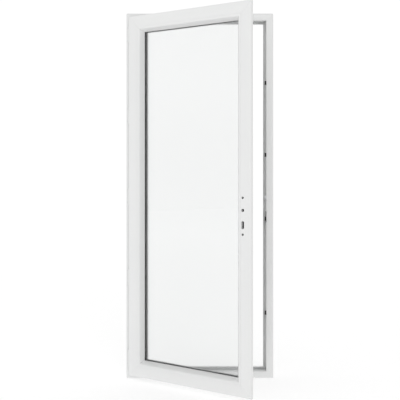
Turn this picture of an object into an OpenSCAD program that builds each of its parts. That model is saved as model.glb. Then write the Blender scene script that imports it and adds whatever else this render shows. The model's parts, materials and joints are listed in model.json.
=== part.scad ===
// Glazed side door: a white hollow-profile leaf in a four-sided frame.
// Hinged on the left, opening towards the front, with a multipoint lock on the right.
// Origin: middle of the frame's underside. +X to the lock side, +Y to the back, +Z up.

/* [Frame] */
// Overall width of the frame
frame_w = 810; // [640:10:1100]
// Overall height of the frame
frame_h = 2010; // [1900:10:2400]
// Depth of the frame, front to back
frame_d = 70; // [70:1:86]
// Width of the frame's front face
face_w = 39; // [38:1:48]
// Height of the lip that stops the leaf, above the rebate
lip_w = 12; // [12:1:20]
// Thickness of that lip, front to back
lip_t = 21; // [18:1:24]
// Outer wall of every hollow profile
wall = 2.8; // [2.5:0.1:3.2]
// Inner webs of every hollow profile
web = 1.5; // [1.2:0.1:2]
// Bevel along the frame's outer front edge
frame_bevel = 6; // [2:0.5:6]
// How much is taken off the frame's four outer corners
corner_cut = 5; // [1:0.5:5]
// Thickness of the steel stiffeners
steel_t = 1.5; // [1.2:0.1:2.5]

/* [Leaf] */
// Strip of frame face left showing around the closed leaf
margin = 25; // [24:0.5:28]
// Gap between the leaf's core and the frame's rebate
rebate_gap = 12; // [12:0.5:14]
// Thickness of the flange that overlaps the frame
flange_t = 20; // [18:1:24]
// Gap between flange and frame face, filled by the leaf seal
seal_gap = 3; // [2.5:0.5:5]
// Depth of the leaf, front to back
leaf_d = 68; // [68:1:70]
// Depth of the leaf's core before it steps in
core_d = 57; // [54:1:60]
// How far the core steps in
core_step = 6; // [4:1:8]
// Width of the leaf's rails and stiles up to the glass
stile_w = 88; // [88:1:98]
// Angle at which the leaf stands open
open_angle = 32.5; // [0:0.5:95]

/* [Glazing] */
// Thickness of each pane
pane_t = 4; // [3:1:6]
// Gap between the two panes
pane_gap = 16; // [12:1:16]
// Thickness of the front glazing gasket
front_gasket_t = 3; // [2:0.5:4]
// Thickness of the back glazing gasket
back_gasket_t = 4; // [2:0.5:4]
// Width of the glazing bead
bead_w = 28; // [26:1:30]
// Depth of the glazing bead
bead_d = 28; // [20:1:28]
// Space beside the edge of the glass
glass_play = 5; // [4:0.5:6]
// Space above and below the glass, filled by its setting blocks
block_t = 3; // [2.5:0.5:4]

/* [Hinges] */
// Number of hinges
hinge_count = 5; // [2:1:5]
// Height of a hinge
hinge_h = 90; // [70:5:120]
// Radius of the hinge barrel
barrel_r = 6; // [5.5:0.5:7]
// Radius of the hinge pin
pin_r = 3; // [2.5:0.5:3.5]
// Thickness of the hinge plates
plate_t = 1.6; // [1.2:0.2:2]
// Distance from the frame's end to the middle of the end hinges
hinge_end = 117; // [100:1:250]

/* [Lock] */
// Height of the handle spindle
spindle_z = 951; // [930:1:1050]
// Distance from the leaf's edge to the spindle
spindle_in = 48; // [47:1:50]
// Heights of the three roller keeps
roller_keep_z = [361, 1231, 1627];
// Depth of the dead bolt's middle below the spindle
bolt_below = 62; // [58:1:62]
// Throw of the dead bolt
bolt_throw = 16; // [12:1:18]
// Height of the latch above the spindle
latch_above = 48; // [44:1:49]
// How far the latch stands out of the faceplate
latch_out = 9.5; // [8:0.5:9.5]
// Radius of the hole that the handle's neck passes through
handle_hole_r = 8; // [7:0.5:8.5]
// Radius of the handle's screw holes
handle_screw_r = 6; // [2.5:0.5:6]
// Width of the cylinder's slot
slot_w = 15; // [12:0.5:17]
// Height of the cylinder's slot
slot_h = 40; // [30:1:40]
// Radius of the roller cams
roller_r = 4.5; // [4:0.5:5]
// Height of a keep
keep_h = 22; // [18:1:30]
// How far a keep stands out of the rebate
keep_out = 9; // [8:0.5:9.5]
// Thickness of a keep's back plate
keep_plate_t = 2; // [1.5:0.5:2.5]

/* [Fixings] */
// Heights of the fixing holes in the lock jamb
lock_fixing_z = [92, 679, 1362, 1915];
// Heights of the fixing holes in the hinge jamb
hinge_fixing_z = [205, 705, 1305, 1805];
// Radius of the frame's fixing holes
fixing_r = 5.25; // [4:0.25:6]
// Radius of the keep and faceplate screws
screw_r = 2; // [1.5:0.25:2.5]
// Radius of the hinge screws
hinge_screw_r = 1.5; // [1.25:0.25:1.75]
// Running clearance on a radius
run_clear = 0.05; // [0.02:0.01:0.1]
// Clearance between sliding or slotted pieces
slide_clear = 0.3; // [0.2:0.05:0.5]

/* [Hidden] */

white = [0.95, 0.95, 0.94];
steel = [0.72, 0.73, 0.74];
black = [0.08, 0.08, 0.08];
seal_grey = [0.35, 0.36, 0.37];
clear_glass = [0.82, 0.88, 0.88, 0.35];
$fn = 48;
far = 3 * frame_h;
edge = 1.5;

// Frame section: v runs from the front face back, u from the outer edge inwards
front_v = -frame_d / 2;
rebate_v = frame_d - lip_t;
lip_top = face_w + lip_w;
front_room = 8;
main_v = wall + front_room + web;
groove_w = 3;
groove_d = 2.4;
steel_play = 0.4;
lip_room_v = rebate_v + wall + 1;
fixing_v = main_v + 15;

// Leaf section, from the leaf's own front face and outer edge
leaf_v = -flange_t - seal_gap;
leaf_w = frame_w - 2 * margin;
leaf_h = frame_h - 2 * margin;
setback = face_w - margin + rebate_gap;
bead_u = stile_w - bead_w;
shoulder = 4;
glass_rebate = bead_u + 8;
glass_v = bead_d + front_gasket_t;
back_pane_v = glass_v + pane_t + pane_gap;
back_leg_v = back_pane_v + pane_t + back_gasket_t;
glass_u = glass_rebate + glass_play;
plate_w = 15.6;
plate_d = 2.6;
rod_w = 10;
rod_d = 2.4;
lock_v = flange_t + 13;
rod_u = setback + plate_d + 0.2;
lock_floor = rod_u + rod_d + 0.4;
core_u = lock_floor + 2.4;
case_u = lock_floor + 0.2;
case_d = 15;
case_wall = 1.5;
case_end = glass_rebate - wall - steel_play - steel_t - 1;

// Hinge axis, in the frame's u and v
axis_u = margin - plate_t - 0.4 - barrel_r;
axis_v = -plate_t - 0.4 - barrel_r;
hinge_pitch = (frame_h - 2 * hinge_end) / max(1, hinge_count - 1);
knuckle_h = 28;
knuckle_gap = 0.6;

// Lock
latch_z = spindle_z + latch_above;
bolt_z = spindle_z - bolt_below;
bolt_h = 36;
bolt_w = 10;
latch_h = 16;
latch_w = 11;
screw_top_z = spindle_z + 62;
screw_low_z = spindle_z - 120;
slot_z = spindle_z - 73;
follower_r = 8;
square_hole = 8.2;
case_low = spindle_z - 96;
case_high = spindle_z + 76;
stroke = keep_h / 2 + roller_r + 1;
stem_r = 3;
roller_out = keep_out - 1;
plate_low = roller_keep_z[0] - 80;
plate_high = roller_keep_z[2] + 80;
keep_front = 0.5;
keep_back = 24;
drain_x = frame_w / 2 - 72;
drain_shift = 60;
drain_len = 27;
drain_wid = 5;
drain_v = rebate_v - drain_wid / 2 - 3;

function hinge_z(i) = hinge_end + i * hinge_pitch;

// ---- placing ----

// Runs a section drawn in v and u along local X, with both ends mitred and, where
// cut is given, the outer corners taken off
module mitred(len, deep, cut = 0) {
    intersection() {
        rotate([90, 0, 90]) translate([0, 0, -len / 2]) linear_extrude(len) children();
        rotate([90, 0, 0]) linear_extrude(far, center = true)
            polygon([[-len / 2 + cut, 0], [len / 2 - cut, 0], [len / 2 - cut / 2, cut / 2],
                [len / 2 - deep, deep], [-len / 2 + deep, deep],
                [-len / 2 + cut / 2, cut / 2]]);
    }
}

// Runs a section square-ended along local X
module square_bar(len) {
    rotate([90, 0, 90]) translate([0, 0, -len / 2]) linear_extrude(len) children();
}

// Puts a bar drawn with local Z inwards on one side of a w by h rectangle standing on z
module on_top(h) { translate([0, 0, h]) rotate([0, 180, 0]) children(); }
module on_left(w, h) { translate([-w / 2, 0, h / 2]) rotate([0, 90, 0]) children(); }
module on_right(w, h) { translate([w / 2, 0, h / 2]) rotate([0, -90, 0]) children(); }

// The frame's bars start at its front face
module in_frame() { translate([0, front_v, 0]) children(); }

// The leaf's own place when closed
module leaf_closed() { translate([0, front_v + leaf_v, margin]) children(); }

// Turns a closed piece about the hinge axis to where the leaf stands
module swung() {
    ax = -frame_w / 2 + axis_u;
    ay = front_v + axis_v;
    translate([ax, ay, 0]) rotate([0, 0, -open_angle]) translate([-ax, -ay, 0]) children();
}
module in_leaf() { swung() leaf_closed() children(); }

// A point of the lock stile: u from the leaf's edge, v from its face, real height z
module lock_side(u, v, z) {
    translate([leaf_w / 2 - u, v, z - margin]) children();
}
// A point of the lock jamb's rebate: u from the frame's edge, v from its face
module jamb_side(u, v, z) { translate([frame_w / 2 - u, v, z]) children(); }

// A block from u0 to u1, v0 to v1 and z0 to z1 on the lock side of the leaf or frame
module side_block(half, u0, u1, v0, v1, z0, z1) {
    translate([half - u1, v0, z0]) cube([u1 - u0, v1 - v0, z1 - z0]);
}

// ---- sections, drawn as [v, u] ----

module room(v0, v1, u0, u1) {
    translate([v0, u0]) square([v1 - v0, u1 - u0]);
}

module frame_outline() {
    polygon([[0, frame_bevel], [frame_bevel, 0], [frame_d - edge, 0], [frame_d, edge],
        [frame_d, lip_top - edge], [frame_d - edge, lip_top], [rebate_v + 1, lip_top],
        [rebate_v, lip_top - 1], [rebate_v, face_w], [edge, face_w], [0, face_w - edge]]);
}

seal_u = face_w + lip_w / 2 - groove_w / 2 + 1;

module frame_section() {
    difference() {
        frame_outline();
        room(wall, wall + front_room, frame_bevel + 1, face_w - wall);
        room(main_v, rebate_v, wall, face_w - wall);
        room(lip_room_v, frame_d - wall, wall, lip_top - wall);
        room(rebate_v - 1, rebate_v + groove_d, seal_u, seal_u + groove_w);
    }
}

module tube_section(v0, v1, u0, u1) {
    difference() {
        room(v0, v1, u0, u1);
        room(v0 + steel_t, v1 - steel_t, u0 + steel_t, u1 - steel_t);
    }
}

module frame_steel_section() {
    tube_section(main_v + steel_play, rebate_v - steel_play, wall + steel_play,
        face_w - wall - steel_play);
}

shoulder_v = leaf_v + core_d;
flap_v = shoulder_v + slide_clear;

// Foot in the lip's groove, pad on the lip and a flap that reaches the leaf's step
module frame_seal_section() {
    room(rebate_v - 2, rebate_v + groove_d, seal_u, seal_u + groove_w);
    room(rebate_v - 2, rebate_v, face_w + 3, lip_top - 1);
    polygon([[rebate_v - 1.5, lip_top - 4], [rebate_v - 1.5, lip_top - 1.2],
        [flap_v + 1, lip_top + 3], [flap_v, lip_top + 2.4], [flap_v, lip_top + 1]]);
}

leaf_groove = [3.5, 6.5];

module leaf_outline() {
    polygon([[0, edge], [edge, 0], [flange_t - 1, 0], [flange_t, 1], [flange_t, setback],
        [core_d, setback], [core_d, setback + core_step], [leaf_d, setback + core_step],
        [leaf_d, stile_w - 4], [leaf_d - 4, stile_w], [back_leg_v, stile_w],
        [back_leg_v, glass_rebate], [shoulder, glass_rebate], [shoulder, bead_u],
        [0, bead_u]]);
}

main_leaf_v = shoulder + wall + 7;
main_leaf_end = back_leg_v - wall;

module leaf_section() {
    flange_room = setback - wall;
    difference() {
        leaf_outline();
        room(wall, flange_t - wall, leaf_groove[1] + web, flange_room);
        room(wall, main_leaf_v - web, flange_room + web, bead_u - wall);
        room(main_leaf_v, main_leaf_end, core_u, glass_rebate - wall);
        room(back_leg_v + 1, leaf_d - wall, setback + core_step + wall, stile_w - wall);
        room(flange_t - groove_d, flange_t + 1, leaf_groove[0], leaf_groove[1]);
        room(lock_v - plate_w / 2 - 0.2, lock_v + plate_w / 2 + 0.2, setback - 1,
            setback + plate_d);
        room(lock_v - rod_w / 2 - 0.2, lock_v + rod_w / 2 + 0.2, setback, lock_floor);
    }
}

module leaf_steel_section() {
    tube_section(main_leaf_v + steel_play, main_leaf_end - steel_play,
        core_u + steel_play, glass_rebate - wall - steel_play);
}

bead_slope = 55;
bead_nose = 2;

// Bead: sits on the glazing rebate, hooks over the shoulder, rounds off and then slopes
// straight down to the glass
module bead_section() {
    rise = bead_w - 1;
    round_r = (rise * tan(bead_slope) - bead_d + bead_nose) * cos(bead_slope)
        / (1 - cos(bead_slope));
    curve = [for (a = [0 : bead_slope / 6 : bead_slope + 1])
        [round_r * (1 - cos(a)), bead_u + 1 + round_r * sin(a)]];
    polygon(concat([[0, bead_u + 0.2]], curve, [[bead_d - bead_nose, stile_w],
        [bead_d, stile_w],
        [bead_d, glass_rebate + 0.2], [shoulder - 0.2, glass_rebate + 0.2],
        [shoulder - 0.2, bead_u + 0.2]]));
}

module leaf_seal_section() {
    room(flange_t - groove_d, flange_t, leaf_groove[0], leaf_groove[1]);
    room(flange_t, flange_t + seal_gap - slide_clear, leaf_groove[0] - 1,
        leaf_groove[1] + 1);
}

// ---- frame ----

module frame_head() {
    color(white) in_frame() on_top(frame_h)
        mitred(frame_w, lip_top, corner_cut) frame_section();
}

// Slot with rounded ends through one wall, with its middle at x, from z upwards
module drain_slot(x, z) {
    run = drain_len - drain_wid;
    translate([x, drain_v, z]) {
        for (s = [-1, 1]) translate([s * run / 2, 0, 0])
            cylinder(r = drain_wid / 2, h = wall + 2);
        translate([-run / 2, -drain_wid / 2, 0]) cube([run, drain_wid, wall + 2]);
    }
}

// Two slots let water out of the rebate and two more out of the underside
module frame_sill() {
    color(white) in_frame() difference() {
        mitred(frame_w, lip_top, corner_cut) frame_section();
        for (side = [-1, 1]) {
            drain_slot(side * drain_x, face_w - wall - 1);
            drain_slot(side * (drain_x - drain_shift), -1);
        }
    }
}

// The row of fixing holes through the hinge jamb (side -1) or the lock jamb (side 1)
module fixing_bores(side) {
    for (z = side < 0 ? hinge_fixing_z : lock_fixing_z) {
        translate([side * (frame_w / 2 + 1), fixing_v, z])
            rotate([0, -side * 90, 0]) cylinder(r = fixing_r, h = face_w + 2);
    }
}

module frame_hinge_jamb() {
    color(white) in_frame() difference() {
        on_left(frame_w, frame_h) mitred(frame_h, lip_top, corner_cut) frame_section();
        fixing_bores(-1);
        hinge_plate_bores();
    }
}

bolt_room = 0.8;

// Pocket behind the bolt's keep
module bolt_pocket() {
    v = leaf_v + lock_v;
    side_block(frame_w / 2, margin + setback - rebate_gap - bolt_throw, face_w + 1,
        v - bolt_w / 2 - bolt_room, v + bolt_w / 2 + bolt_room,
        bolt_z - bolt_h / 2 - bolt_room, bolt_z + bolt_h / 2 + bolt_room);
}

module frame_lock_jamb() {
    color(white) in_frame() difference() {
        on_right(frame_w, frame_h) mitred(frame_h, lip_top, corner_cut) frame_section();
        fixing_bores(1);
        bolt_pocket();
        keep_screw_set(face_w - 10, screw_r);
    }
}

stiffener_short = lip_top + 12;

module head_stiffener() {
    color(steel) in_frame() on_top(frame_h)
        square_bar(frame_w - 2 * stiffener_short) frame_steel_section();
}
module sill_stiffener() {
    color(steel) in_frame()
        square_bar(frame_w - 2 * stiffener_short) frame_steel_section();
}
module hinge_jamb_stiffener() {
    color(steel) in_frame() difference() {
        on_left(frame_w, frame_h)
            square_bar(frame_h - 2 * stiffener_short) frame_steel_section();
        fixing_bores(-1);
        hinge_plate_bores();
    }
}
module lock_jamb_stiffener() {
    color(steel) in_frame() difference() {
        on_right(frame_w, frame_h)
            square_bar(frame_h - 2 * stiffener_short) frame_steel_section();
        fixing_bores(1);
        bolt_pocket();
        keep_screw_set(face_w - 10, screw_r);
    }
}

// One seal, welded at its corners
module frame_seal() {
    deep = lip_top + 4;
    color(seal_grey) in_frame() {
        mitred(frame_w, deep) frame_seal_section();
        on_top(frame_h) mitred(frame_w, deep) frame_seal_section();
        on_left(frame_w, frame_h) mitred(frame_h, deep) frame_seal_section();
        on_right(frame_w, frame_h) mitred(frame_h, deep) frame_seal_section();
    }
}

// ---- keeps ----

lip_end_v = leaf_v + lock_v - max(roller_r, bolt_w / 2) - 0.5;
screw_v = 20;

// Plate on the rebate with a hooked lip at the front
module keep(z0, z1, lip0, lip1) {
    side_block(frame_w / 2, face_w, face_w + keep_plate_t, keep_front, keep_back, z0, z1);
    side_block(frame_w / 2, face_w, face_w + keep_out, keep_front, lip_end_v, lip0, lip1);
}

// Screw places: [height, distance between the two screws]
function keep_places() = concat([for (z = roller_keep_z) [z, keep_h / 2]],
    [[bolt_z, bolt_h + 12], [latch_z, latch_h + 14]]);

module keep_screw_set(from_u, r) {
    for (p = keep_places()) {
        for (s = [-0.5, 0.5]) {
            jamb_side(from_u, screw_v, p[0] + s * p[1]) rotate([0, -90, 0])
                cylinder(r = r, h = face_w + keep_plate_t - from_u);
        }
    }
}

module roller_keep(i) {
    z = roller_keep_z[i];
    color(black) in_frame() difference() {
        keep(z - keep_h / 2, z + keep_h / 2, z - keep_h / 2, z + keep_h / 2);
        keep_screw_set(face_w - 1, screw_r);
    }
}
module roller_keep_1() { roller_keep(0); }
module roller_keep_2() { roller_keep(1); }
module roller_keep_3() { roller_keep(2); }

module bolt_keep() {
    half = bolt_h / 2 + 12;
    v = leaf_v + lock_v;
    color(black) in_frame() difference() {
        keep(bolt_z - half, bolt_z + half, bolt_z - keep_h + 1, bolt_z + 1);
        side_block(frame_w / 2, face_w - 1, face_w + keep_plate_t + 1,
            v - bolt_w / 2 - bolt_room, v + bolt_w / 2 + bolt_room,
            bolt_z - bolt_h / 2 - bolt_room, bolt_z + bolt_h / 2 + bolt_room);
        keep_screw_set(face_w - 1, screw_r);
    }
}

module latch_keep() {
    half = latch_h / 2 + 12;
    color(steel) in_frame() difference() {
        side_block(frame_w / 2, face_w, face_w + keep_plate_t, keep_front, keep_back,
            latch_z - half, latch_z + half);
        keep_screw_set(face_w - 1, screw_r);
    }
    color(steel) in_frame()
        side_block(frame_w / 2, face_w, face_w + keep_out, keep_front,
            leaf_v + lock_v - latch_w / 2 - slide_clear, latch_z - latch_h / 2,
            latch_z + latch_h / 2);
}

module keep_screws() {
    color(steel) in_frame() keep_screw_set(face_w - 10, screw_r);
}

// ---- hinges ----

module at_hinge(i) {
    translate([-frame_w / 2 + axis_u, front_v + axis_v, hinge_z(i)]) children();
}

hinge_screw_z = hinge_h / 2 - 10;
frame_plate_u = frame_bevel;
frame_screw_u = (frame_plate_u + axis_u - barrel_r) / 2;
hinge_screw_len = 12;

module knuckle(z0, z1) { translate([0, 0, z0]) cylinder(r = barrel_r, h = z1 - z0); }

// Screw bores of the frame plates, from the plate's face backwards
module hinge_plate_bores() {
    for (i = [0 : hinge_count - 1]) {
        for (s = [-1, 1]) {
            translate([-frame_w / 2 + frame_screw_u, -plate_t, hinge_z(i) + s * hinge_screw_z])
                rotate([-90, 0, 0]) cylinder(r = hinge_screw_r, h = hinge_screw_len);
        }
    }
}

module pin_bore() {
    translate([0, 0, -hinge_h]) cylinder(r = pin_r + run_clear, h = 2 * hinge_h);
}

// Plate on the frame's face with the upper and lower knuckles
module frame_hinge(i) {
    lift = barrel_r + 0.4;
    half = knuckle_h / 2 + knuckle_gap;
    color(white) difference() {
        at_hinge(i) difference() {
            union() {
                translate([frame_plate_u - axis_u, lift, -hinge_h / 2])
                    cube([margin - 1 - frame_plate_u, plate_t, hinge_h]);
                for (s = [0, 1]) mirror([0, 0, s]) {
                    knuckle(half, hinge_h / 2);
                    translate([-barrel_r + 1, 0, half])
                        cube([barrel_r + 2, lift, hinge_h / 2 - half]);
                }
            }
            pin_bore();
        }
        in_frame() hinge_plate_bores();
    }
}
module frame_hinge_1() { frame_hinge(0); }
module frame_hinge_2() { frame_hinge(1); }
module frame_hinge_3() { frame_hinge(2); }
module frame_hinge_4() { frame_hinge(3); }
module frame_hinge_5() { frame_hinge(4); }

module hinge_pins() {
    color(steel) for (i = [0 : hinge_count - 1]) at_hinge(i) {
        translate([0, 0, -hinge_h / 2]) cylinder(r = pin_r, h = hinge_h);
        translate([0, 0, hinge_h / 2]) cylinder(r = barrel_r - 0.5, h = 2);
    }
}

module frame_hinge_screws() { color(steel) in_frame() hinge_plate_bores(); }

// Screw bores of the leaf plates, through the flange's edge
module leaf_plate_bores() {
    for (i = [0 : hinge_count - 1]) {
        for (s = [-1, 1]) {
            translate([-frame_w / 2 + margin - plate_t, front_v + leaf_v + flange_t / 2,
                hinge_z(i) + s * hinge_screw_z])
                rotate([0, 90, 0]) cylinder(r = hinge_screw_r, h = hinge_screw_len);
        }
    }
}

// Plate on the flange's edge with the middle knuckle
module leaf_hinge(i) {
    reach = margin - axis_u;
    plate_v = flange_t - 3.5;
    color(white) swung() difference() {
        at_hinge(i) difference() {
            union() {
                knuckle(-knuckle_h / 2, knuckle_h / 2);
                translate([0, -barrel_r / 2, -knuckle_h / 2])
                    cube([reach - plate_t / 2, barrel_r, knuckle_h]);
                translate([reach - plate_t, leaf_v - axis_v + 2, -hinge_h / 2])
                    cube([plate_t, plate_v, hinge_h]);
            }
            pin_bore();
        }
        leaf_plate_bores();
    }
}
module leaf_hinge_1() { leaf_hinge(0); }
module leaf_hinge_2() { leaf_hinge(1); }
module leaf_hinge_3() { leaf_hinge(2); }
module leaf_hinge_4() { leaf_hinge(3); }
module leaf_hinge_5() { leaf_hinge(4); }

module leaf_hinge_screws() { color(steel) swung() leaf_plate_bores(); }

// ---- leaf ----

module leaf_top_rail() {
    color(white) in_leaf() on_top(leaf_h) mitred(leaf_w, stile_w) leaf_section();
}
module leaf_bottom_rail() {
    color(white) in_leaf() mitred(leaf_w, stile_w) leaf_section();
}
module leaf_hinge_stile() {
    color(white) swung() difference() {
        leaf_closed() on_left(leaf_w, leaf_h) mitred(leaf_h, stile_w) leaf_section();
        leaf_plate_bores();
    }
}

// Bores through the lock stile for handle, screws and cylinder, along the depth
module through_bore(u, z, r) {
    lock_side(u, -1, z) rotate([-90, 0, 0]) cylinder(r = r, h = leaf_d + 2);
}
module cylinder_slot() {
    run = slot_h - slot_w;
    for (s = [-1, 1]) through_bore(spindle_in, slot_z + s * run / 2, slot_w / 2);
    lock_side(spindle_in + slot_w / 2, -1, slot_z - run / 2)
        cube([slot_w, leaf_d + 2, run]);
}
module handle_screw_bores() {
    through_bore(spindle_in, screw_top_z, handle_screw_r);
    through_bore(spindle_in, screw_low_z, handle_screw_r);
}

// Mortise for the lock case, from the rod groove inwards
module case_mortise() {
    side_block(leaf_w / 2, setback + 1, core_u + steel_play + steel_t + 1,
        lock_v - case_d / 2 - 0.3, lock_v + case_d / 2 + 0.3,
        case_low - margin - 0.3, case_high - margin + 0.3);
}

module leaf_lock_stile() {
    color(white) in_leaf() difference() {
        on_right(leaf_w, leaf_h) mitred(leaf_h, stile_w) leaf_section();
        through_bore(spindle_in, spindle_z, handle_hole_r);
        cylinder_slot();
        handle_screw_bores();
        case_mortise();
        faceplate_screw_set();
    }
}

leaf_steel_short = stile_w + 10;

module top_rail_stiffener() {
    color(steel) in_leaf() on_top(leaf_h)
        square_bar(leaf_w - 2 * leaf_steel_short) leaf_steel_section();
}
module bottom_rail_stiffener() {
    color(steel) in_leaf()
        square_bar(leaf_w - 2 * leaf_steel_short) leaf_steel_section();
}
module hinge_stile_stiffener() {
    color(steel) in_leaf() on_left(leaf_w, leaf_h)
        square_bar(leaf_h - 2 * leaf_steel_short) leaf_steel_section();
}
module lock_stile_stiffener() {
    color(steel) in_leaf() difference() {
        on_right(leaf_w, leaf_h)
            square_bar(leaf_h - 2 * leaf_steel_short) leaf_steel_section();
        through_bore(spindle_in, spindle_z, handle_hole_r);
        cylinder_slot();
        handle_screw_bores();
        case_mortise();
        faceplate_screw_set();
    }
}

module top_bead() {
    color(white) in_leaf() on_top(leaf_h) mitred(leaf_w, stile_w) bead_section();
}
module bottom_bead() {
    color(white) in_leaf() mitred(leaf_w, stile_w) bead_section();
}
module hinge_bead() {
    color(white) in_leaf() on_left(leaf_w, leaf_h) mitred(leaf_h, stile_w) bead_section();
}
module lock_bead() {
    color(white) in_leaf() on_right(leaf_w, leaf_h) mitred(leaf_h, stile_w) bead_section();
}

// A flat sheet or ring in the leaf's plane, u in from the leaf's edge and, at top and
// bottom, taller by drop
module sheet(u, v, t, drop = 0) {
    translate([-leaf_w / 2 + u, v, u - drop])
        cube([leaf_w - 2 * u, t, leaf_h - 2 * (u - drop)]);
}
module ring(u0, u1, v, t, drop = 0) {
    difference() {
        sheet(u0, v, t, drop);
        sheet(u1, v - 1, t + 2, drop);
    }
}

spacer_u = glass_u + 4;
spacer_h = 5.5;
gasket_u = stile_w - 6;
glass_drop = glass_play - block_t;

module front_pane() {
    color(clear_glass) in_leaf() sheet(glass_u, glass_v, pane_t, glass_drop);
}
module back_pane() {
    color(clear_glass) in_leaf() sheet(glass_u, back_pane_v, pane_t, glass_drop);
}
module spacer_bar() {
    color(black) in_leaf()
        ring(spacer_u, spacer_u + spacer_h, glass_v + pane_t, pane_gap, glass_drop);
}
module edge_sealant() {
    color(black) in_leaf()
        ring(glass_u + 0.5, spacer_u, glass_v + pane_t, pane_gap, glass_drop);
}
module front_gasket() {
    color(black) in_leaf() ring(gasket_u, stile_w, bead_d, front_gasket_t);
}
module back_gasket() {
    color(black) in_leaf() ring(gasket_u, stile_w, back_pane_v + pane_t, back_gasket_t);
}

block_len = 100;
block_in = glass_u + 40;

// Two blocks carry the glass and six more keep it square in the leaf
module setting_blocks() {
    t = back_pane_v + pane_t - glass_v;
    color(black) in_leaf() {
        for (s = [-1, 1]) {
            for (z = [glass_rebate, leaf_h - glass_rebate - block_t]) {
                translate([s * (leaf_w / 2 - block_in - block_len / 2) - block_len / 2,
                    glass_v, z]) cube([block_len, t, block_t]);
            }
            for (z = [block_in, leaf_h - block_in - block_len]) {
                translate([s * (leaf_w / 2 - glass_rebate - glass_play / 2) - glass_play / 2,
                    glass_v, z]) cube([glass_play, t, block_len]);
            }
        }
    }
}

// One seal on the back of the flange, welded at its corners
module leaf_seal() {
    deep = leaf_groove[1] + 2;
    color(seal_grey) in_leaf() {
        mitred(leaf_w, deep) leaf_seal_section();
        on_top(leaf_h) mitred(leaf_w, deep) leaf_seal_section();
        on_left(leaf_w, leaf_h) mitred(leaf_h, deep) leaf_seal_section();
        on_right(leaf_w, leaf_h) mitred(leaf_h, deep) leaf_seal_section();
    }
}

// ---- lock ----

// Screws sit clear of the rods, beyond their ends and between latch and dead bolt
faceplate_screw_z = [plate_low + 12, plate_low + 44, bolt_z + bolt_h / 2 + 12,
    latch_z - latch_h / 2 - 12, plate_high - 44, plate_high - 12];

module faceplate_screw_set() {
    for (z = faceplate_screw_z) {
        lock_side(setback, lock_v, z) rotate([0, -90, 0])
            cylinder(r = screw_r, h = 8);
    }
}

// Where a rod's roller rests, a stroke short of its keep, and the way it travels
function roller_rest(i) = roller_keep_z[i] + (i == 0 ? stroke : -stroke);

module roller_slot(i) {
    for (z = [roller_rest(i), roller_keep_z[i]]) {
        lock_side(setback - 1, lock_v, z) rotate([0, -90, 0])
            cylinder(r = stem_r + slide_clear, h = plate_d + 2);
    }
    low = min(roller_rest(i), roller_keep_z[i]);
    side_block(leaf_w / 2, setback - 1, setback + plate_d + 1, lock_v - stem_r - slide_clear,
        lock_v + stem_r + slide_clear, low - margin, low + stroke - margin);
}

// Openings that the latch and the dead bolt pass through, from u0 to u1
module bolt_ways(u0, u1) {
    side_block(leaf_w / 2, u0, u1, lock_v - latch_w / 2 - slide_clear,
        lock_v + latch_w / 2 + slide_clear, latch_z - latch_h / 2 - slide_clear - margin,
        latch_z + latch_h / 2 + slide_clear - margin);
    side_block(leaf_w / 2, u0, u1, lock_v - bolt_w / 2 - slide_clear,
        lock_v + bolt_w / 2 + slide_clear, bolt_z - bolt_h / 2 - slide_clear - margin,
        bolt_z + bolt_h / 2 + slide_clear - margin);
}

module faceplate() {
    color(steel) in_leaf() difference() {
        side_block(leaf_w / 2, setback, setback + plate_d, lock_v - plate_w / 2,
            lock_v + plate_w / 2, plate_low - margin, plate_high - margin);
        for (i = [0 : 2]) roller_slot(i);
        bolt_ways(setback - 1, setback + plate_d + 1);
        faceplate_screw_set();
    }
}

module faceplate_screws() { color(steel) in_leaf() faceplate_screw_set(); }

module lock_case() {
    color(steel) in_leaf() difference() {
        side_block(leaf_w / 2, case_u, case_end, lock_v - case_d / 2, lock_v + case_d / 2,
            case_low - margin, case_high - margin);
        side_block(leaf_w / 2, case_u + case_wall, case_end - case_wall,
            lock_v - case_d / 2 + case_wall, lock_v + case_d / 2 - case_wall,
            case_low + case_wall - margin, case_high - case_wall - margin);
        bolt_ways(case_u - 1, case_u + case_wall + 1);
        through_bore(spindle_in, spindle_z, follower_r + run_clear);
        cylinder_slot();
        handle_screw_bores();
        faceplate_screw_set();
    }
}

// Sprung latch with its bevel at the back, shown out
module latch_bolt() {
    tip = setback - latch_out;
    bevel = 7.5;
    v0 = lock_v - latch_w / 2;
    color(steel) in_leaf() translate([leaf_w / 2, 0, latch_z - latch_h / 2 - margin])
        linear_extrude(latch_h)
            polygon([[-tip, v0], [-tip, v0 + latch_w - bevel],
                [-setback, v0 + latch_w], [-case_u - case_wall - latch_out - 3, v0 + latch_w],
                [-case_u - case_wall - latch_out - 3, v0]]);
}

// Dead bolt, shown drawn in, with a tail that passes over the cylinder
module dead_bolt() {
    head_end = spindle_in - slot_w / 2 - 0.8;
    tail_h = bolt_z + bolt_h / 2 - slot_z - slot_h / 2 - 0.8;
    v0 = lock_v - bolt_w / 2;
    top = bolt_z + bolt_h / 2 - margin;
    color(steel) in_leaf() {
        side_block(leaf_w / 2, setback + 0.2, head_end, v0, v0 + bolt_w, top - bolt_h, top);
        side_block(leaf_w / 2, setback + 0.2, case_end - case_wall - 1, v0, v0 + bolt_w,
            top - tail_h, top);
    }
}

// Follower that takes the handle's square spindle
module follower() {
    color(steel) in_leaf() lock_side(spindle_in, lock_v, spindle_z) rotate([-90, 0, 0])
        difference() {
            union() {
                cylinder(r = follower_r, h = case_d, center = true);
                cylinder(r = follower_r + 3, h = case_d - 2 * case_wall - 1, center = true);
            }
            cube([square_hole, square_hole, case_d + 2], center = true);
        }
}

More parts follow.
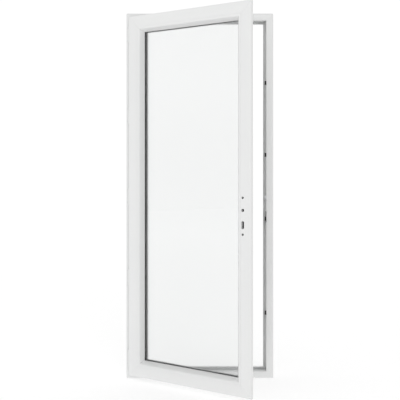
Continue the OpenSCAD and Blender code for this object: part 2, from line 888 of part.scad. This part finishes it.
module rod(z0, z1) {
    side_block(leaf_w / 2, rod_u, rod_u + rod_d, lock_v - rod_w / 2, lock_v + rod_w / 2,
        z0 - margin, z1 - margin);
}
module upper_rod() {
    color(steel) in_leaf()
        rod(latch_z + latch_h / 2 + 3, roller_rest(2) + stem_r + 10);
}
module lower_rod() {
    color(steel) in_leaf()
        rod(roller_rest(0) - stem_r - 10, bolt_z - bolt_h / 2 - 3);
}

module roller(i) {
    lock_side(rod_u, lock_v, roller_rest(i)) rotate([0, 90, 0]) {
        cylinder(r = stem_r, h = rod_u - setback + slide_clear);
        translate([0, 0, rod_u - setback + slide_clear])
            cylinder(r = roller_r, h = roller_out - slide_clear);
    }
}
module upper_rollers() {
    color(steel) in_leaf() {
        roller(1);
        roller(2);
    }
}
module lower_roller() { color(steel) in_leaf() roller(0); }

frame_head();
frame_sill();
frame_hinge_jamb();
frame_lock_jamb();
head_stiffener();
sill_stiffener();
hinge_jamb_stiffener();
lock_jamb_stiffener();
frame_seal();
roller_keep_1();
roller_keep_2();
roller_keep_3();
bolt_keep();
latch_keep();
keep_screws();
frame_hinge_1();
frame_hinge_2();
frame_hinge_3();
frame_hinge_4();
frame_hinge_5();
hinge_pins();
frame_hinge_screws();
leaf_top_rail();
leaf_bottom_rail();
leaf_hinge_stile();
leaf_lock_stile();
top_rail_stiffener();
bottom_rail_stiffener();
hinge_stile_stiffener();
lock_stile_stiffener();
top_bead();
bottom_bead();
hinge_bead();
lock_bead();
front_pane();
back_pane();
spacer_bar();
edge_sealant();
front_gasket();
back_gasket();
setting_blocks();
leaf_seal();
leaf_hinge_1();
leaf_hinge_2();
leaf_hinge_3();
leaf_hinge_4();
leaf_hinge_5();
leaf_hinge_screws();
faceplate();
lock_case();
faceplate_screws();
latch_bolt();
dead_bolt();
follower();
upper_rod();
upper_rollers();
lower_rod();
lower_roller();
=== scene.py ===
"""Looks of the glazed side door: rounded profile edges, screws, finishes, light and camera."""

import json
import math

import bmesh
import bpy
from mathutils import Matrix, Vector


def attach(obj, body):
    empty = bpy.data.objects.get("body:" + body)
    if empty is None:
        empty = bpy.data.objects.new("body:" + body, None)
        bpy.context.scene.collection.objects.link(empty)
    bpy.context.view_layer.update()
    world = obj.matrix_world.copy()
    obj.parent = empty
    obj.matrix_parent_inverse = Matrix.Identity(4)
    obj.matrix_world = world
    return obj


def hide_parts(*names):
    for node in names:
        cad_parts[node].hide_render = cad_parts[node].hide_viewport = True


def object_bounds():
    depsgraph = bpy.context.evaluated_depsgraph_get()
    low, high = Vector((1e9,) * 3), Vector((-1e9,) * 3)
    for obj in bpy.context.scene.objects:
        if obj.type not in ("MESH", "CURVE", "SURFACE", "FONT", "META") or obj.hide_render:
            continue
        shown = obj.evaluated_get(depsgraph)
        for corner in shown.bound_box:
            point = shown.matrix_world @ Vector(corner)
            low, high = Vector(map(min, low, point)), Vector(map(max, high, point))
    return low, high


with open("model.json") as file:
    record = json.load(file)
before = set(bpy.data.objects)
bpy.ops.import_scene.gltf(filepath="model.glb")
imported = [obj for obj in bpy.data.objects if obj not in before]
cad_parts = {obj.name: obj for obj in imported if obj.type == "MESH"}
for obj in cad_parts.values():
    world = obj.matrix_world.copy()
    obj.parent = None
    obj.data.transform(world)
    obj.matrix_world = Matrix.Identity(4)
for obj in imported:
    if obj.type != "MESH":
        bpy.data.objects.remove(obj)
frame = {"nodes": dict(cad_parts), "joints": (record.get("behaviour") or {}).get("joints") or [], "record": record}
cad_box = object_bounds()

MM = 0.001
# Strength of the soft sky at the far left and the far right
SKY_LEFT, SKY_RIGHT = 0.93, 0.60
FLOOR_GREY, FLOOR_GLOW = 0.50, 0.60
# Floor: half its width, front edge, start and radius of the bend, top of the backdrop, in m
FLOOR_HALF, FLOOR_FRONT, BEND_AT, BEND_R, BACKDROP_TOP = 14, -14, 8, 3, 9
CAMERA_AT = (0.001, -3.925, 1.170)
CAMERA_LENS, CAMERA_SHIFT = 63.6, -0.08525
# Values between which a noise texture mostly lies
NOISE_LOW, NOISE_HIGH = 0.3, 0.7
swing = next(j for j in frame["joints"] if j["name"] == "leaf_swing")
open_angle = math.radians(-swing["range_deg"][0])
# The direction of the leaf's width at rest
leaf_along = Matrix.Rotation(-open_angle, 3, "Z") @ Vector((1, 0, 0))


# ---- shader building ----

class Shader:
    """A node tree with a Principled shader, and short ways to add nodes to it."""

    def __init__(self, name):
        self.material = bpy.data.materials.new(name)
        self.material.use_nodes = True
        self.tree = self.material.node_tree
        self.surface = self.tree.nodes["Principled BSDF"]

    def set(self, **values):
        for key, value in values.items():
            socket = key.replace("_", " ").title().replace("Ior", "IOR")
            self.surface.inputs[socket].default_value = value

    def add(self, kind, **inputs):
        node = self.tree.nodes.new(kind)
        for key, value in inputs.items():
            socket = node.inputs[key.replace("_", " ").title()]
            if isinstance(value, bpy.types.NodeSocket):
                self.tree.links.new(value, socket)
            else:
                socket.default_value = value
        return node

    def link(self, start, end):
        self.tree.links.new(start, end)

    def coordinates(self, scale=(1, 1, 1), turn=0.0):
        """Object coordinates, turned about the upright axis and stretched."""
        source = self.add("ShaderNodeTexCoord")
        mapping = self.add("ShaderNodeMapping", scale=scale, rotation=(0, 0, turn))
        self.link(source.outputs["Object"], mapping.inputs["Vector"])
        return mapping.outputs["Vector"]

    def noise(self, scale, detail=3.0, stretch=(1, 1, 1), turn=0.0):
        node = self.add("ShaderNodeTexNoise", scale=scale, detail=detail)
        self.link(self.coordinates(stretch, turn), node.inputs["Vector"])
        return node.outputs["Fac"]

    def between(self, fac, low, high):
        """A noise value brought to low..high."""
        node = self.add("ShaderNodeMapRange", value=fac)
        node.inputs["From Min"].default_value = NOISE_LOW
        node.inputs["From Max"].default_value = NOISE_HIGH
        node.inputs["To Min"].default_value = low
        node.inputs["To Max"].default_value = high
        return node.outputs["Result"]

    def tint(self, fac, dark, light):
        ramp = self.add("ShaderNodeValToRGB", fac=fac)
        ramp.color_ramp.elements[0].position = NOISE_LOW
        ramp.color_ramp.elements[0].color = (*dark, 1)
        ramp.color_ramp.elements[1].position = NOISE_HIGH
        ramp.color_ramp.elements[1].color = (*light, 1)
        self.link(ramp.outputs["Color"], self.surface.inputs["Base Color"])

    def rough(self, fac, low, high):
        self.link(self.between(fac, low, high), self.surface.inputs["Roughness"])

    def bump(self, heights, distance, strength=0.5):
        """Adds up [(height, share), ...] into one bump."""
        total = None
        for height, share in heights:
            part = self.add("ShaderNodeMath")
            part.operation = "MULTIPLY_ADD"
            self.link(height, part.inputs[0])
            part.inputs[1].default_value = share
            if total is not None:
                self.link(total, part.inputs[2])
            else:
                part.inputs[2].default_value = 0
            total = part.outputs[0]
        node = self.add("ShaderNodeBump", distance=distance, strength=strength, height=total)
        self.link(node.outputs["Normal"], self.surface.inputs["Normal"])


def extruded_white(name, stretch, turn=0.0):
    """Satin white profile with faint draw lines along its length."""
    s = Shader(name)
    lines = s.noise(1.0, 2.0, stretch, turn)
    skin = s.noise(420.0, 2.0)
    cloud = s.noise(3.0, 2.0)
    s.tint(cloud, (0.832, 0.838, 0.836), (0.850, 0.854, 0.850))
    s.rough(skin, 0.30, 0.38)
    s.bump([(lines, 1.0), (skin, 0.35)], 0.00006, 0.35)
    s.set(ior=1.5)
    return s.material


def coated_white():
    """White powder coat with a fine orange-peel skin."""
    s = Shader("powder_coat_white")
    peel = s.noise(900.0, 2.0)
    s.tint(s.noise(6.0), (0.80, 0.805, 0.80), (0.825, 0.83, 0.825))
    s.rough(peel, 0.34, 0.46)
    s.bump([(peel, 1.0)], 0.0001, 0.4)
    return s.material


def rubber(name, dark, light):
    """Moulded rubber, dull with a fine grain."""
    s = Shader(name)
    grain = s.noise(1400.0, 3.0)
    s.tint(s.noise(40.0), dark, light)
    s.rough(grain, 0.55, 0.75)
    s.bump([(grain, 1.0)], 0.0001, 0.4)
    return s.material


def moulded_black(name):
    """Black nylon with a fine spark-eroded texture."""
    s = Shader(name)
    grain = s.noise(1800.0, 4.0)
    s.tint(s.noise(60.0), (0.012, 0.012, 0.012), (0.024, 0.024, 0.025))
    s.rough(grain, 0.42, 0.62)
    s.bump([(grain, 1.0)], 0.00012, 0.5)
    return s.material


def brushed(name, dark, light, stretch, turn=0.0, low=0.24, high=0.42):
    """Plated steel, brushed along its length."""
    s = Shader(name)
    strokes = s.noise(1.0, 4.0, stretch, turn)
    s.tint(strokes, dark, light)
    s.rough(strokes, low, high)
    s.bump([(strokes, 1.0)], 0.00005, 0.4)
    s.set(metallic=1.0)
    return s.material


def galvanised():
    """Zinc spangle on the steel stiffeners."""
    s = Shader("zinc_spangle")
    cells = s.add("ShaderNodeTexVoronoi", scale=90.0)
    s.link(s.coordinates(), cells.inputs["Vector"])
    s.tint(cells.outputs["Color"], (0.48, 0.50, 0.52), (0.70, 0.71, 0.72))
    s.rough(s.noise(150.0), 0.30, 0.50)
    s.set(metallic=1.0)
    return s.material


def clear_glass():
    """Float glass with a trace of green."""
    s = Shader("float_glass")
    s.set(transmission_weight=1.0, roughness=0.0, ior=1.46)
    ripple = s.noise(2.2, 1.0)
    s.tint(ripple, (0.944, 0.949, 0.947), (0.947, 0.952, 0.950))
    s.bump([(ripple, 1.0)], 0.00004, 0.05)
    return s.material


# Texture scale along a bar and across it: it draws the noise out into lines
ALONG = 6
ACROSS = 700
materials = {
    "upright": extruded_white("white_profile_upright", (ACROSS, ACROSS, ALONG)),
    "level": extruded_white("white_profile_level", (ALONG, ACROSS, ACROSS)),
    "leaf_upright": extruded_white("white_leaf_upright", (ACROSS, ACROSS, ALONG),
                                   open_angle),
    "leaf_level": extruded_white("white_leaf_level", (ALONG, ACROSS, ACROSS), open_angle),
    "white_hinge": coated_white(),
    "seal_rubber": rubber("weather_seal", (0.74, 0.745, 0.745), (0.78, 0.785, 0.785)),
    "glazing_rubber": rubber("glazing_gasket", (0.78, 0.785, 0.785), (0.81, 0.815, 0.815)),
    "sealant": rubber("edge_sealant", (0.010, 0.010, 0.010), (0.016, 0.016, 0.016)),
    "black_keep": moulded_black("keep_nylon"),
    "black_spacer": moulded_black("spacer_black"),
    "black_block": moulded_black("packer_black"),
    "plated_steel": brushed("zinc_plate", (0.55, 0.56, 0.57), (0.68, 0.69, 0.70),
                            (900, 900, 30)),
    "bolt_steel": brushed("nickel_plate", (0.66, 0.65, 0.63), (0.78, 0.77, 0.75),
                          (60, 900, 900), open_angle, 0.16, 0.28),
    "case_steel": brushed("black_zinc", (0.03, 0.03, 0.032), (0.055, 0.055, 0.058),
                          (60, 900, 900), open_angle, 0.35, 0.5),
    "galvanised": galvanised(),
    "glass": clear_glass(),
}

bodies = frame["record"]["behaviour"]["bodies"]
body_of = {node: body for body, nodes in bodies.items() for node in nodes}
slot_of = {row["node"]: row["material_slot"] for row in frame["record"]["subparts"]}
LEVEL_BARS = ("frame_head", "frame_sill", "leaf_top_rail", "leaf_bottom_rail", "top_bead",
              "bottom_bead")


def finish_of(node):
    """The material that a node wears."""
    if slot_of[node] != "white_profile":
        return materials[slot_of[node]]
    kind = "level" if node in LEVEL_BARS else "upright"
    return materials["leaf_" + kind if body_of[node] == "leaf" else kind]


for node, part in frame["nodes"].items():
    part.data.materials.clear()
    part.data.materials.append(finish_of(node))


# ---- pieces ----

SMOOTH_BELOW = math.radians(28)
CRISP_ABOVE = math.radians(25)
FLAT_BELOW = math.radians(0.4)
WELD_POINTS = 0.004 * MM


def finished(node, bm):
    """Turns a bmesh into the piece that stands for a node, in that node's finish."""
    name = node + "_piece"
    mesh = bpy.data.meshes.new(name)
    bm.to_mesh(mesh)
    bm.free()
    for extra in [a for a in mesh.attributes if a.name == "custom_normal"]:
        mesh.attributes.remove(extra)
    for layer in list(mesh.uv_layers):
        mesh.uv_layers.remove(layer)
    mesh.materials.clear()
    mesh.materials.append(finish_of(node))
    mesh.shade_smooth()
    mesh.set_sharp_from_angle(angle=SMOOTH_BELOW)
    thing = bpy.data.objects.new(name, mesh)
    bpy.context.scene.collection.objects.link(thing)
    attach(thing, body_of[node])
    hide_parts(node)


def merged(node):
    """A welded copy of a node's mesh, with its flat sides made whole."""
    bm = bmesh.new()
    bm.from_mesh(frame["nodes"][node].data)
    bmesh.ops.remove_doubles(bm, verts=bm.verts, dist=WELD_POINTS)
    bmesh.ops.dissolve_limit(bm, angle_limit=FLAT_BELOW, verts=bm.verts, edges=bm.edges)
    return bm


def crisp_edges(bm, longer):
    """Outside edges that are long enough to round."""
    return [e for e in bm.edges if e.is_manifold and e.is_convex
            and e.calc_face_angle(0) > CRISP_ABOVE and e.calc_length() > longer]


def eased(bm, edges, width, segments):
    """Rounds edges in place."""
    bmesh.ops.bevel(bm, geom=edges, offset=width, offset_type="OFFSET", affect="EDGES",
                    segments=segments, profile=0.5, clamp_overlap=False, material=-1)


def softened(node, width, longer, segments, weld):
    """The node with its outside edges rounded, and a fine weld line at mitred ends."""
    bm = merged(node)
    eased(bm, crisp_edges(bm, longer), width, segments)
    if weld:
        along = max_direction(bm)
        ends = [e for e in crisp_edges(bm, 0.0)
                if abs((e.verts[1].co - e.verts[0].co).normalized().dot(along)) < 0.8
                and at_end(bm, e, along)]
        eased(bm, ends, weld, 1)
    finished(node, bm)


def max_direction(bm):
    """The way a bar runs: the direction of its longest edge."""
    longest = max(bm.edges, key=lambda e: e.calc_length())
    return (longest.verts[1].co - longest.verts[0].co).normalized()


def at_end(bm, edge, along):
    """Whether an edge borders a mitre, whose face looks half along the bar."""
    return any(0.6 < abs(f.normal.dot(along)) < 0.8 for f in edge.link_faces)


WELD_LINE = 0.15 * MM
LONG = 60 * MM
BARS = ("frame_head", "frame_sill", "frame_hinge_jamb", "frame_lock_jamb", "leaf_top_rail",
        "leaf_bottom_rail", "leaf_hinge_stile", "leaf_lock_stile")
BEADS = ("top_bead", "bottom_bead", "hinge_bead", "lock_bead")
RUBBERS = ("frame_seal", "leaf_seal", "front_gasket", "back_gasket")
KEEPS = ("roller_keep_1", "roller_keep_2", "roller_keep_3", "bolt_keep", "latch_keep")
HINGES = tuple(f"{side}_hinge_{number}" for number in range(1, 6)
               for side in ("frame", "leaf"))
# Nodes, radius of the edges in mm, shortest edge that is rounded, segments, weld line
ROUNDED = (
    (BARS, 0.6, LONG, 2, WELD_LINE),
    (BEADS, 0.4, LONG, 2, WELD_LINE),
    (RUBBERS, 0.45, LONG, 3, 0.0),
    (KEEPS, 0.6, 1.9 * MM, 3, 0.0),
    (HINGES, 0.5, 0.05 * MM, 2, 0.0),
    (("faceplate",), 0.3, 2 * MM, 2, 0.0),
    (("latch_bolt",), 0.4, 0.0, 3, 0.0),
    (("dead_bolt",), 0.5, 0.0, 3, 0.0),
    (("upper_rollers", "lower_roller"), 0.9, 0.0, 3, 0.0),
    (("hinge_pins",), 0.8, 0.0, 3, 0.0),
)
for group, radius, longer, segments, weld in ROUNDED:
    for node in group:
        softened(node, radius * MM, longer, segments, weld)


# ---- screws ----

def islands(bm):
    """The separate lumps of a mesh, each as a list of points."""
    left = set(bm.verts)
    while left:
        start = left.pop()
        lump, edge_on = [start], [start]
        while edge_on:
            for e in edge_on.pop().link_edges:
                for v in e.verts:
                    if v in left:
                        left.remove(v)
                        lump.append(v)
                        edge_on.append(v)
        yield [v.co.copy() for v in lump]


def screw_form(head_r, shank_r, length, dome):
    """A raised countersunk screw with a cross recess, looking up, its rim at the origin."""
    body = bmesh.new()
    bmesh.ops.create_uvsphere(body, u_segments=24, v_segments=12, radius=head_r)
    bmesh.ops.bisect_plane(body, geom=body.verts[:] + body.edges[:] + body.faces[:],
                           plane_co=(0, 0, 0), plane_no=(0, 0, 1), clear_inner=True)
    bmesh.ops.scale(body, verts=body.verts, vec=(1, 1, dome / head_r))
    rim = [e for e in body.edges if e.is_boundary]
    down = bmesh.ops.extrude_edge_only(body, edges=rim)["geom"]
    low = [v for v in down if isinstance(v, bmesh.types.BMVert)]
    sink = head_r - shank_r
    bmesh.ops.translate(body, verts=low, vec=(0, 0, -sink))
    bmesh.ops.scale(body, verts=low, vec=(shank_r / head_r, shank_r / head_r, 1))
    down = bmesh.ops.extrude_edge_only(
        body, edges=[e for e in body.edges if e.is_boundary])["geom"]
    low = [v for v in down if isinstance(v, bmesh.types.BMVert)]
    bmesh.ops.translate(body, verts=low, vec=(0, 0, sink - length))
    bmesh.ops.holes_fill(body, edges=[e for e in body.edges if e.is_boundary], sides=0)
    bmesh.ops.recalc_face_normals(body, faces=body.faces)

    cross = bmesh.new()
    arm, thick, deep = head_r * 1.15, head_r * 0.24, head_r * 0.7
    for size in ((arm, thick, deep), (thick, arm, deep)):
        made = bmesh.ops.create_cube(cross, size=1)["verts"]
        bmesh.ops.scale(cross, verts=made, vec=size)
    bmesh.ops.translate(cross, verts=cross.verts, vec=(0, 0, dome))
    return carved(body, cross)


def carved(body, tool):
    """body with tool cut out of it."""
    things = []
    for bm in (body, tool):
        mesh = bpy.data.meshes.new("work")
        bm.to_mesh(mesh)
        bm.free()
        things.append(bpy.data.objects.new("work", mesh))
        bpy.context.scene.collection.objects.link(things[-1])
    cut = things[0].modifiers.new("cut", "BOOLEAN")
    cut.operation = "DIFFERENCE"
    cut.solver = "EXACT"
    cut.use_self = True
    cut.object = things[1]
    bpy.context.view_layer.update()
    result = bmesh.new()
    result.from_object(things[0], bpy.context.evaluated_depsgraph_get())
    for thing in things:
        mesh = thing.data
        bpy.data.objects.remove(thing)
        bpy.data.meshes.remove(mesh)
    return result


def screws(node, outward, head_r, shank_r, dome=0.4 * MM):
    """Screws in place of a node's plain ones, with their heads at the outward ends."""
    source = merged(node)
    points = list(islands(source))
    source.free()
    bm = bmesh.new()
    form = None
    for lump in points:
        middle = sum(lump, Vector()) / len(lump)
        heights = [p.dot(outward) for p in lump]
        top = max(heights)
        if form is None:
            made = screw_form(head_r, shank_r, top - min(heights), dome)
            form = bpy.data.meshes.new("screw_form")
            made.to_mesh(form)
            made.free()
        first = len(bm.verts)
        bm.from_mesh(form)
        bm.verts.ensure_lookup_table()
        turn = outward.to_track_quat("Z", "Y").to_matrix().to_4x4()
        spot = Matrix.Translation(middle + outward * (top - middle.dot(outward)))
        bmesh.ops.transform(bm, matrix=spot @ turn, verts=bm.verts[first:])
    bpy.data.meshes.remove(form)
    finished(node, bm)


screws("keep_screws", Vector((-1, 0, 0)), 3.6 * MM, 2.0 * MM)
screws("frame_hinge_screws", Vector((0, -1, 0)), 1.9 * MM, 1.5 * MM)
screws("leaf_hinge_screws", -leaf_along, 2.8 * MM, 1.5 * MM)
screws("faceplate_screws", leaf_along, 3.4 * MM, 2.0 * MM, 0.3 * MM)


# ---- stage ----

def studio():
    """A pale floor that curves up into a far backdrop, under a sky lighter on the left."""
    scene = bpy.context.scene
    scene.view_settings.view_transform = "Standard"
    world = bpy.data.worlds.new("studio")
    world.use_nodes = True
    tree = world.node_tree
    sky = tree.nodes["Background"]
    sky.inputs["Color"].default_value = (1, 1, 1, 1)
    split = tree.nodes.new("ShaderNodeSeparateXYZ")
    tree.links.new(tree.nodes.new("ShaderNodeTexCoord").outputs["Generated"],
                   split.inputs["Vector"])
    level = tree.nodes.new("ShaderNodeMapRange")
    tree.links.new(split.outputs["X"], level.inputs["Value"])
    level.inputs["From Min"].default_value = -1
    level.inputs["From Max"].default_value = 1
    level.inputs["To Min"].default_value = SKY_LEFT
    level.inputs["To Max"].default_value = SKY_RIGHT
    tree.links.new(level.outputs["Result"], sky.inputs["Strength"])
    scene.world = world

    ground = cad_box[0][2]
    bm = bmesh.new()
    start = bm.verts.new((-FLOOR_HALF, FLOOR_FRONT, ground))
    run = bm.verts.new((-FLOOR_HALF, BEND_AT, ground))
    bm.edges.new((start, run))
    arc = bmesh.ops.spin(bm, geom=[run], cent=(-FLOOR_HALF, BEND_AT, ground + BEND_R),
                         axis=(1, 0, 0), angle=math.radians(90), steps=16)["geom_last"]
    end = [v for v in arc if isinstance(v, bmesh.types.BMVert)][0]
    top = bm.verts.new((end.co.x, end.co.y, BACKDROP_TOP))
    bm.edges.new((end, top))
    swept = bmesh.ops.extrude_edge_only(bm, edges=bm.edges[:])["geom"]
    bmesh.ops.translate(bm, verts=[v for v in swept if isinstance(v, bmesh.types.BMVert)],
                        vec=(2 * FLOOR_HALF, 0, 0))
    bmesh.ops.recalc_face_normals(bm, faces=bm.faces)
    if sum(f.normal.z for f in bm.faces) < 0:
        bmesh.ops.reverse_faces(bm, faces=bm.faces)
    mesh = bpy.data.meshes.new("floor")
    bm.to_mesh(mesh)
    bm.free()
    mesh.shade_smooth()
    floor = bpy.data.objects.new("floor", mesh)
    scene.collection.objects.link(floor)
    s = Shader("pale_floor")
    s.set(base_color=(FLOOR_GREY, FLOOR_GREY, FLOOR_GREY, 1), roughness=0.9,
          specular_ior_level=0.0, emission_color=(1, 1, 1, 1), emission_strength=FLOOR_GLOW)
    mesh.materials.append(s.material)


def lamp(name, place, aim, size, power):
    """An area lamp at a place, turned to a point."""
    light = bpy.data.lights.new(name, "AREA")
    light.shape = "RECTANGLE"
    light.size, light.size_y = size
    light.energy = power
    thing = bpy.data.objects.new(name, light)
    thing.location = place
    thing.rotation_euler = (Vector(aim) - Vector(place)).to_track_quat("-Z", "Y").to_euler()
    bpy.context.scene.collection.objects.link(thing)


def camera():
    """A level camera in front, shifted down instead of tilted."""
    data = bpy.data.cameras.new("camera")
    data.sensor_width = 36
    data.lens = CAMERA_LENS
    data.shift_y = CAMERA_SHIFT
    data.clip_end = 100
    eye = bpy.data.objects.new("camera", data)
    eye.location = CAMERA_AT
    eye.rotation_euler = (math.radians(90), 0, 0)
    bpy.context.scene.collection.objects.link(eye)
    bpy.context.scene.camera = eye


studio()
lamp("key", (0.9, -4.4, 3.8), (0.1, 0, 1.5), (1.8, 1.4), 24)
camera()
